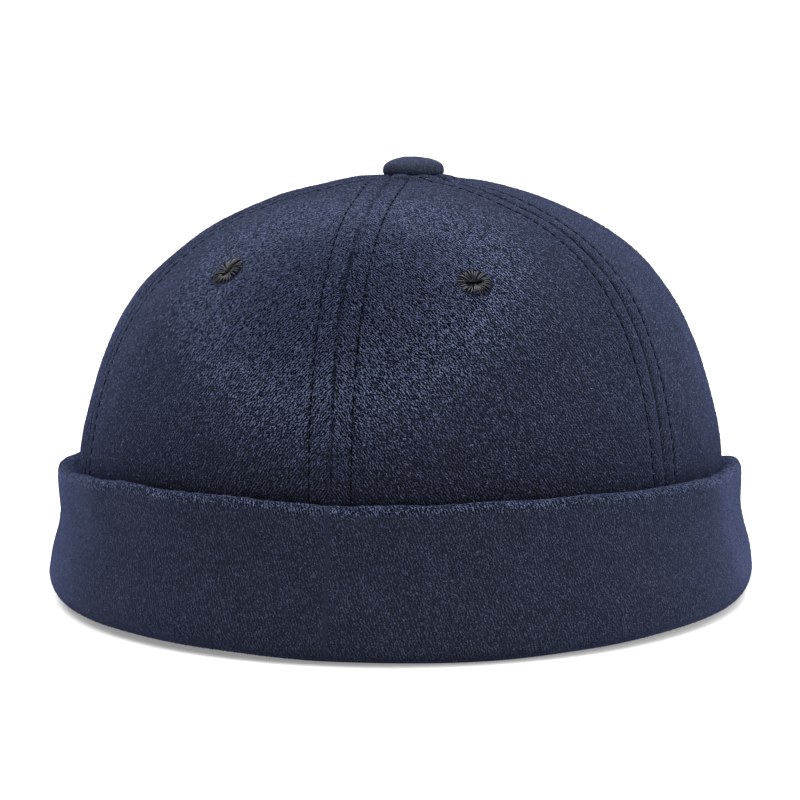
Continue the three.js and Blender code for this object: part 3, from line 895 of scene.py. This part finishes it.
def build_eyelet(number, angle, height, material):
    """Threads wound round the edge of a hole, close together, each along the eyelet's path."""
    rng = np.random.default_rng(EYELET_SEED + number)
    centre, normal = eyelet_seat(angle, height)
    side = unit(np.cross([0.0, 0.0, 1.0], normal))
    upward = np.cross(normal, side)
    outline = np.array(EYELET_PATH)
    long, short, tilt = EYELET_SLITS[number - 1]
    wide, tall = EYELET_STRETCH[number - 1]
    slit = np.zeros(len(outline))
    slit[EYELET_PATH_IN_HOLE] = 1.0
    tubes = []
    for count in range(EYELET_THREADS):
        jitter = rng.uniform(-EYELET_SPIN_JITTER, EYELET_SPIN_JITTER)
        spin = 2 * math.pi * (count + jitter) / EYELET_THREADS
        from_slit = spin - math.radians(tilt)
        hole = long * short / math.hypot(short * math.cos(from_slit), long * math.sin(from_slit))
        longer = rng.uniform(-EYELET_REACH_JITTER, EYELET_REACH_JITTER)
        reach = outline[:, 0] + slit * hole + np.linspace(longer, 0.0, len(outline))
        high = outline[:, 1] + rng.uniform(*EYELET_HEIGHT_JITTER)
        twist = spin + np.linspace(0.0, EYELET_TWIST, len(outline))
        sideways = side[None] * (wide * np.cos(twist))[:, None]
        outward = sideways + upward[None] * (tall * np.sin(twist))[:, None]
        path = centre + outward * reach[:, None] + normal[None] * high[:, None]
        around = -side[None] * np.sin(twist)[:, None] + upward[None] * np.cos(twist)[:, None]
        facing = np.cross(unit(np.gradient(path, axis=0)), around)
        radii = np.full(len(path), EYELET_THREAD_RADIUS)
        radii[[0, -1]] *= EYELET_THREAD_END
        tubes.append(tube(path, facing, radii))
    points, faces = join_tubes(tubes)
    eyelet = make_object(f"eyelet_thread_{number}", points, faces, material)
    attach(eyelet, "root")
    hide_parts(f"eyelet_{number}")


# Cuff


def rim_value(degrees, column):
    """One column of the rim table at any angle, eased from row to row."""
    angles = np.array([row[0] for row in RIM] + [360.0])
    values = np.array([row[column] for row in RIM] + [RIM[0][column]])
    index = np.clip(np.searchsorted(angles, degrees, side="right") - 1, 0, len(RIM) - 1)
    share = smoothstep(degrees, angles[index], angles[index + 1])
    return values[index] + (values[index + 1] - values[index]) * share


def arc(centre, radius_x, radius_y, start, end, steps):
    """Points of an arc of an ellipse between two angles in degrees."""
    turn = np.radians(np.linspace(start, end, steps))
    return np.stack([centre[0] + radius_x * np.cos(turn), centre[1] + radius_y * np.sin(turn)], axis=1)


def even_path(points, spacing):
    """The same path with its corners rounded off and its points evenly spaced."""
    for _ in range(2):
        near, far = points[:-1], points[1:]
        keep = 1.0 - CORNER_CUT
        cut = np.stack([near * keep + far * CORNER_CUT, near * CORNER_CUT + far * keep], axis=1)
        points = np.concatenate([points[:1], cut.reshape(-1, 2), points[-1:]])
    length = distances_along(points)
    return sample(points, length, np.linspace(0, length[-1], max(3, int(length[-1] / spacing))))


def cuff_section():
    """The folded band's section: its outer face with the roll, what the roll hides, and the facing."""
    bulge = (CUFF_STRIP, CUFF_BULGE[1])
    bulge_x = CUFF_BULGE[0] - CUFF_STRIP
    roll = (ROLL[0], RIM_HEIGHT - ROLL[1])
    facing_top = (FACING_OFFSET - CLOTH / 2, FACING_HEIGHT - FACING_EDGE)
    facing_foot = (FACING_OFFSET - CLOTH + FACING_FOLD, FACING_FOLD)
    outside = np.concatenate(
        [
            arc(bulge, bulge_x, CUFF_BULGE[1], -90, 0, FOLD_STEPS),
            np.array(CUFF_FACE),
            arc(roll, ROLL[1], ROLL[1], 0, 180, ROLL_STEPS),
        ]
    )
    turn_in = np.array(TURN_IN)
    inner_face = np.array(CUFF_FACE)[::-1] - [CLOTH, 0.0]
    hidden = np.concatenate(
        [
            turn_in,
            turn_in[::-1] + [CLOTH, 0.0],
            arc(roll, ROLL_CREASE, ROLL_CREASE, 180, 0, CREASE_STEPS),
            inner_face,
            arc(bulge, bulge_x - CLOTH, CUFF_BULGE[1] - CLOTH, 0, -90, HIDDEN_STEPS),
            [[FACING_OFFSET, CLOTH]],
        ]
    )
    lining = np.concatenate(
        [
            [[FACING_OFFSET, FACING_HEIGHT - FACING_EDGE]],
            arc(facing_top, CLOTH / 2, FACING_EDGE, 0, 180, HIDDEN_STEPS),
            arc(facing_foot, FACING_FOLD, FACING_FOLD, 180, 270, HIDDEN_STEPS),
        ]
    )
    return even_path(outside, CUFF_SPACING), hidden, lining


class Cuff:
    """The cuff as a grid of sections round the cap, with the cloth's coordinates, painted shade and a painted
    highlight.
    """

    def __init__(self):
        outside, hidden, lining = cuff_section()
        section = np.concatenate([outside, hidden, lining])
        self.shown = len(outside)
        degrees = np.linspace(0, 360, CUFF_STEPS, endpoint=False)
        angle = np.radians(degrees)
        rim = rim_value(degrees, 1)
        flare = rim_value(degrees, 2)
        lift = rim_value(degrees, 3)
        height = section[None, :, 1]
        stretch = smoothstep(height, FACING_HEIGHT, RIM_HEIGHT - RIM_BAND)
        offset = section[None, :, 0] + flare[:, None] * smoothstep(height, FLARE_START, RIM_HEIGHT - RIM_BAND)
        raised = lift[:, None] * np.maximum(0.0, 1.0 - height / LIFT_FADE)
        outward = np.stack([np.sin(angle), -np.cos(angle)], axis=1)
        x = (HALF_WIDTH + offset) * outward[:, :1]
        y = (HALF_LENGTH + offset) * outward[:, 1:]
        z = height + stretch * (rim[:, None] - RIM_HEIGHT) + raised
        points = np.stack([x, y, z], axis=-1)
        soft = unevenness(points, CUFF_WAVES) * smoothstep(z, *CUFF_FREE_BAND)
        points[..., 0] += outward[:, :1] * soft
        points[..., 1] += outward[:, 1:] * soft
        near_rim = smoothstep(height, RIM_HEIGHT - RIM_SOFT, RIM_HEIGHT)
        rim_line = points[:, :1] * [1.0, 1.0, 0.0]
        points[..., 2] += unevenness(rim_line, RIM_WAVES) * near_rim
        self.points = points
        # Painted shade under the bottom fold, where it turns towards the floor, and a painted highlight along
        # the roll
        under = UNDER_SHADE * (1.0 - smoothstep(height, 0.0, UNDER_SHADE_HEIGHT))
        self.shade = np.repeat(under, CUFF_STEPS, axis=0)
        rim_highlight = RIM_HIGHLIGHT * smoothstep(height, *RIM_HIGHLIGHT_BAND)
        self.brushed = np.repeat(rim_highlight, CUFF_STEPS, axis=0)
        around = angle * (HALF_WIDTH + HALF_LENGTH) / 2
        along = distances_along(section)
        self.uv = np.stack(np.broadcast_arrays(around[:, None], along[None]), axis=-1)


def build_cuff(cuff, material):
    """The cuff's one closed band of cloth."""
    steps, count = cuff.points.shape[:2]
    ids = np.arange(steps * count).reshape(steps, count)
    there = np.roll(ids, -1, axis=0)
    corners = [ids, there, np.roll(there, -1, axis=1), np.roll(ids, -1, axis=1)]
    quads = np.stack(corners, axis=-1).reshape(-1, 4)
    points, uv = cuff.points.reshape(-1, 3), cuff.uv.reshape(-1, 2)
    brushed, shade = cuff.brushed.ravel(), cuff.shade.ravel()
    band = make_object("cuff_cloth", points, quads, material, uv, brushed=brushed, shade=shade)
    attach(band, "root")
    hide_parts("cuff")


# Button


def build_button(material):
    """A soft dome of cloth on a flat underside, turned round its own axis."""
    turn = np.linspace(0, 2 * math.pi, BUTTON_SIDES, endpoint=False)
    profile = np.array(BUTTON_PROFILE)
    radius = profile[:, 0:1] * BUTTON_RADIUS
    height = profile[:, 1:2] * BUTTON_HEIGHT + BUTTON_BASE
    x = BUTTON_CENTRE[0] + radius * np.sin(turn)[None]
    y = BUTTON_CENTRE[1] - radius * np.cos(turn)[None]
    points = np.stack([x, y, np.repeat(height, BUTTON_SIDES, axis=1)], axis=-1)
    points[..., 2] += unevenness(points, BUTTON_WAVES) * smoothstep(profile[:, 1:2], *BUTTON_DENT_BAND)
    ids = np.arange(points.shape[0] * BUTTON_SIDES).reshape(-1, BUTTON_SIDES)
    nxt = np.roll(ids, -1, axis=1)
    quads = np.stack([ids[:-1], nxt[:-1], nxt[1:], ids[1:]], axis=-1).reshape(-1, 4)
    top = [BUTTON_CENTRE[0], BUTTON_CENTRE[1], BUTTON_BASE + BUTTON_HEIGHT]
    under = [BUTTON_CENTRE[0], BUTTON_CENTRE[1], BUTTON_BASE + BUTTON_UNDER * BUTTON_HEIGHT]
    flat = np.concatenate([points.reshape(-1, 3), [under, top]])
    under_id = np.full(BUTTON_SIDES, len(flat) - 2)
    top_id = under_id + 1
    caps = np.concatenate(
        [np.stack([under_id, nxt[0], ids[0]], axis=1), np.stack([top_id, ids[-1], nxt[-1]], axis=1)]
    )
    uv = np.stack([flat[:, 0], flat[:, 1] + flat[:, 2]], axis=1)
    button = make_object("button_cloth", flat, [quads, caps], material, uv)
    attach(button, "root")
    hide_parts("button")


# Loose fibres


def scatter(grid, count, rng, density=None):
    """Random places on a grid of points, as place, normal and the two directions of the grid."""
    a, b, c, d = grid[:-1, :-1], grid[:-1, 1:], grid[1:, 1:], grid[1:, :-1]
    area = np.linalg.norm(np.cross(c - a, d - b), axis=-1).ravel()
    if density is not None:
        area = area * density[:-1, :-1].ravel()
    places = (np.arange(count) + rng.random(count)) / count
    cell = np.searchsorted(np.cumsum(area / area.sum()), places).clip(0, len(area) - 1)
    a, b, c, d = (corner.reshape(-1, 3)[cell] for corner in (a, b, c, d))
    s, t = rng.random((2, count, 1))
    place = a * (1 - s) * (1 - t) + b * s * (1 - t) + c * s * t + d * (1 - s) * t
    across = unit((b - a) + (c - d))
    normal = unit(np.cross(across, (d - a) + (c - b)))
    return place, normal, across, np.cross(normal, across)


def fibres(place, normal, across, upward, lean, rng, length=(0.5, 1.05), width=0.13, dim=1.6, spread=0.7):
    """Slim closed slivers that lie on the cloth near one lean, each with a tone that dim keeps low."""
    count = len(place)
    turn = lean + rng.normal(0.0, spread, count)
    along = across * np.cos(turn)[:, None] + upward * np.sin(turn)[:, None]
    size = rng.uniform(*length, count)[:, None]
    tip_height = rng.random((count, 1)) ** 2 * FIBRE_STAND * FIBRE_TIP
    start = place - normal * FIBRE_SINK - along * size / 2
    finish = place + normal * tip_height + along * size / 2
    arch = np.maximum(FIBRE_STAND * rng.uniform(*FIBRE_ARCH, (count, 1)), tip_height / 2 + FIBRE_LEAST_ARCH)
    middle = place + normal * arch
    aside = np.cross(along, normal) * (width / 2 * rng.uniform(*FIBRE_WIDTHS, (count, 1)))
    points = np.stack([start, finish, middle - aside, middle + aside], axis=1).reshape(-1, 3)
    base = np.array([(0, 1, 3), (0, 2, 1), (0, 3, 2), (1, 2, 3)])
    faces = (base[None] + 4 * np.arange(count)[:, None, None]).reshape(-1, 3)
    tone = np.repeat(rng.random(count) ** dim, 4)
    return points, faces, tone


def build_crown_nap(panels, material, count):
    """Fibres on the crown, closer where a highlight is painted and sparser where shade is painted, as on the
    seams.
    """
    rng = np.random.default_rng(CROWN_FIBRE_SEED)
    centres = eyelet_centres()
    weight = np.array([1.0 + HIGHLIGHT_DENSITY * panel.brushed.mean() for panel in panels])
    share = (count * weight / weight.sum()).astype(int)
    points, faces, tones = [], [], []
    total = 0
    for panel in panels:
        shown = slice(2, -2)
        brushed, shaded = panel.brushed[:, shown], panel.shade[:, shown]
        density = (1.0 + HIGHLIGHT_DENSITY * brushed) * (1.0 - SHADE_THINNING * shaded)
        place, normal, across, upward = scatter(panel.outer[:, shown], share[panel.index], rng, density)
        keep = place[:, 2] > CROWN_NAP_START
        for centre in centres:
            keep &= np.linalg.norm(place - centre, axis=1) > EYELET_NAP_EDGE
        lean = -STREAK_TURN if panel.mirror > 0 else STREAK_TURN
        made = fibres(place[keep], normal[keep], across[keep], upward[keep], lean, rng)
        points.append(made[0])
        faces.append(made[1] + total)
        tones.append(made[2])
        total += len(made[0])
    nap = make_object(
        "crown_nap", np.concatenate(points), np.concatenate(faces), material, tone=np.concatenate(tones)
    )
    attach(nap, "root")


def build_cuff_nap(cuff, material, count):
    """Shorter, more tangled fibres on the cuff, closer along its rim."""
    rng = np.random.default_rng(CUFF_FIBRE_SEED)
    shown = np.concatenate([cuff.points, cuff.points[:1]])[:, : cuff.shown]
    density = 1.0 + RIM_DENSITY * np.concatenate([cuff.brushed, cuff.brushed[:1]])[:, : cuff.shown]
    place, normal, across, upward = scatter(shown.transpose(1, 0, 2), count, rng, density.T)
    keep = place[:, 2] > CUFF_NAP_START
    short = {"length": (0.4, 0.75), "width": 0.1, "dim": 2.2, "spread": 1.6}
    made = fibres(place[keep], normal[keep], across[keep], upward[keep], -CUFF_TURN, rng, **short)
    nap = make_object("cuff_nap", made[0], made[1], material, tone=made[2])
    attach(nap, "root")


# Studio


def build_floor():
    corners = ((-1, -1, 0), (1, -1, 0), (1, 1, 0), (-1, 1, 0))
    points = FLOOR_REACH * np.array(corners, float)
    floor = make_object("floor", points, np.array([[0, 1, 2, 3]]), floor_material())


def area_light(name, place, target, size, energy):
    """A white lamp that faces its target."""
    data = bpy.data.lights.new(name, "AREA")
    data.shape = "RECTANGLE"
    data.size, data.size_y = size
    data.energy = energy
    light = bpy.data.objects.new(name, data)
    bpy.context.scene.collection.objects.link(light)
    light.location = place
    away = np.array(place) - np.array(target)
    light.rotation_mode = "QUATERNION"
    light.rotation_quaternion = Vector(away).to_track_quat("Z", "Y")


def sky_lobe(nodes, links, direction, sharpness, strength):
    """Light from around one direction of the sky."""
    place = add_node(nodes, "ShaderNodeTexCoord")
    facing = add_node(nodes, "ShaderNodeVectorMath", {"operation": "DOT_PRODUCT"})
    facing.inputs[1].default_value = unit(np.array(direction, float))
    links.new(place.outputs["Generated"], facing.inputs[0])
    ahead = math_node(nodes, links, "MAXIMUM", facing.outputs["Value"], 0.0)
    narrow = math_node(nodes, links, "POWER", ahead, sharpness)
    return math_node(nodes, links, "MULTIPLY", narrow, strength)


def build_lights():
    """The lamps, and a sky that is bright in a few directions."""
    for name, place, target, size, energy in AREA_LIGHTS:
        area_light(name, place, target, size, energy)
    world = bpy.data.worlds.new("studio")
    bpy.context.scene.world = world
    world.use_nodes = True
    nodes = world.node_tree.nodes
    links = world.node_tree.links
    total = 0.0
    for direction, sharpness, strength in SKY_LOBES:
        total = math_node(nodes, links, "ADD", sky_lobe(nodes, links, direction, sharpness, strength), total)
    nodes["Background"].inputs["Color"].default_value = (1, 1, 1, 1)
    links.new(total, nodes["Background"].inputs["Strength"])
    bpy.context.scene.view_settings.view_transform = "Standard"


def build_camera():
    data = bpy.data.cameras.new("camera")
    data.lens = CAMERA_LENS
    data.sensor_width = CAMERA_SENSOR
    data.clip_start = 0.01
    data.clip_end = 100.0
    camera = bpy.data.objects.new("camera", data)
    bpy.context.scene.collection.objects.link(camera)
    camera.location = (
        CAMERA_DISTANCE * math.sin(CAMERA_AZIMUTH) * MM,
        -CAMERA_DISTANCE * math.cos(CAMERA_AZIMUTH) * MM,
        CAMERA_HEIGHT * MM,
    )
    camera.rotation_euler = (math.pi / 2 - CAMERA_PITCH, 0, CAMERA_HEADING)
    bpy.context.scene.camera = camera


def finish_post():
    """The hidden post keeps its own shape and gets its steel."""
    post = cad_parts["button_post"]
    post.data.materials.clear()
    post.data.materials.append(metal_material())


build_camera()
build_floor()
build_lights()
panels = [Panel(index) for index in range(len(SEAM_FEET))]
cuff = Cuff()
# The cuff's and the button's copies of the wool are painted lighter than the crown's, standing in for the
# light that falls on them
crown_wool = wool_material("crown_wool", lightness=1.17, contrast=0.125, sheen=0.075)
cuff_wool = wool_material("cuff_wool", lightness=1.42, contrast=0.075, sheen=0.125, turn=CUFF_TURN, bump=0.4)
button_wool = wool_material("button_wool", lightness=2.4, contrast=0.05, coarse=0.8, bump=0.12)
black_thread = thread_material("black_thread", EYELET_BLACK, 0.25)
seam_thread = thread_material("seam_thread", SEAM_BLACK, 0.0)
fibre = nap_material()
build_panels(panels, crown_wool)
build_stitches(panels, seam_thread)
for number, (_, angle, height) in enumerate(EYELETS, start=1):
    build_eyelet(number, angle, height, black_thread)
build_cuff(cuff, cuff_wool)
build_button(button_wool)
build_crown_nap(panels, fibre, CROWN_FIBRES)
build_cuff_nap(cuff, fibre, CUFF_FIBRES)
finish_post()
